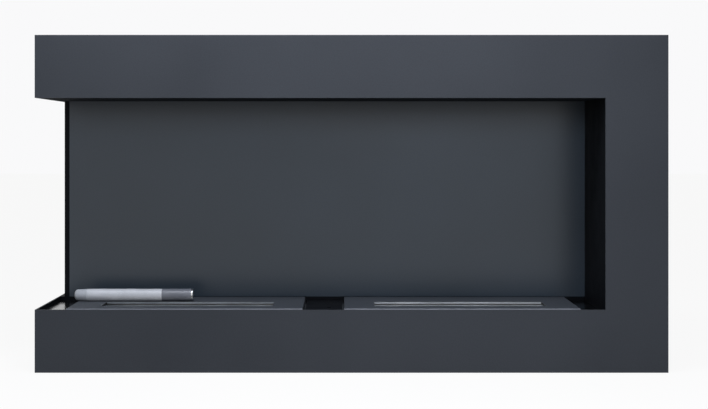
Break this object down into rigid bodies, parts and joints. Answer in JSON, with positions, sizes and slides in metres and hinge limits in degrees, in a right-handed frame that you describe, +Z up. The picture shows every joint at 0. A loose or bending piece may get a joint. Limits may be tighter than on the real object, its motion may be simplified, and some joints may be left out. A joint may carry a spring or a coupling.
{
  "type": "corner fireplace",
  "caption": "Wall-hung corner fireplace with a C-shaped front frame, open at the front and left, and slot burners with sliding dampers in a black floor tray.",
  "frame": {"origin": "middle of the box's footprint, at the level of the base", "axes": "+X to the right along the front, +Y from the front face to the wall, +Z up"},
  "size_m": [1.2, 0.27, 0.64],
  "materials": {
    "anthracite_coat": "anthracite powder coat, satin, fine texture",
    "case_coat": "anthracite powder coat, matt",
    "gloss_black": "black enamel, gloss",
    "galvanised": "zinc-coated sheet, matt spangle",
    "stainless": "brushed stainless sheet",
    "damper_steel": "heat-darkened steel sheet",
    "ceramic_fibre": "loose white ceramic fibre",
    "rod_nose_grey": "bead-blasted grey",
    "rod_steel": "satin silver lacquer",
    "rod_grip_dark": "dark grey satin",
    "rod_bright": "polished"
  },
  "bodies": {
    "case": {"front_fascia": "anthracite_coat", "left_lower_side": "anthracite_coat", "left_upper_side": "anthracite_coat", "inner_back_panel": "anthracite_coat", "ceiling_panel": "anthracite_coat", "top_panel": "case_coat", "bottom_panel": "case_coat", "right_panel": "case_coat", "rear_panel": "case_coat", "floor_tray": "gloss_black", "tray_edge_front": "gloss_black", "tray_edge_left": "gloss_black", "tray_edge_right": "gloss_black", "tray_edge_rear": "gloss_black", "inner_right_panel": "gloss_black", "corner_post": "gloss_black", "tray_support_left": "galvanised", "tray_support_middle": "galvanised", "tray_support_right": "galvanised"},
    "burner_left": {"burner_plate_left": "anthracite_coat", "slot_rim_left": "stainless", "damper_rail_1_left": "damper_steel", "damper_rail_2_left": "damper_steel", "burner_deck_left": "stainless", "tank_left": "stainless", "fuel_wool_left": "ceramic_fibre"},
    "damper_left": {"damper_left": "damper_steel"},
    "burner_right": {"burner_plate_right": "anthracite_coat", "slot_rim_right": "stainless", "damper_rail_1_right": "damper_steel", "damper_rail_2_right": "damper_steel", "burner_deck_right": "stainless", "tank_right": "stainless", "fuel_wool_right": "ceramic_fibre"},
    "damper_right": {"damper_right": "damper_steel"},
    "rod": {"rod_nose": "rod_nose_grey", "rod_body": "rod_steel", "rod_grip": "rod_grip_dark", "rod_end_ring": "rod_bright"}
  },
  "joints": [
    {"name": "burner_left_lift", "type": "slide", "parent": "case", "child": "burner_left", "axis": [0, 0, 1], "range_m": [0, 0.15]},
    {"name": "burner_right_lift", "type": "slide", "parent": "case", "child": "burner_right", "axis": [0, 0, 1], "range_m": [0, 0.15]},
    {"name": "damper_left_slide", "type": "slide", "parent": "burner_left", "child": "damper_left", "axis": [0, -1, 0], "range_m": [0, 0.0675]},
    {"name": "damper_right_slide", "type": "slide", "parent": "burner_right", "child": "damper_right", "axis": [0, -1, 0], "range_m": [0, 0.0675]},
    {"name": "rod_lift", "type": "slide", "parent": "burner_left", "child": "rod", "axis": [0, 0, 1], "range_m": [0, 0.2]}
  ]
}
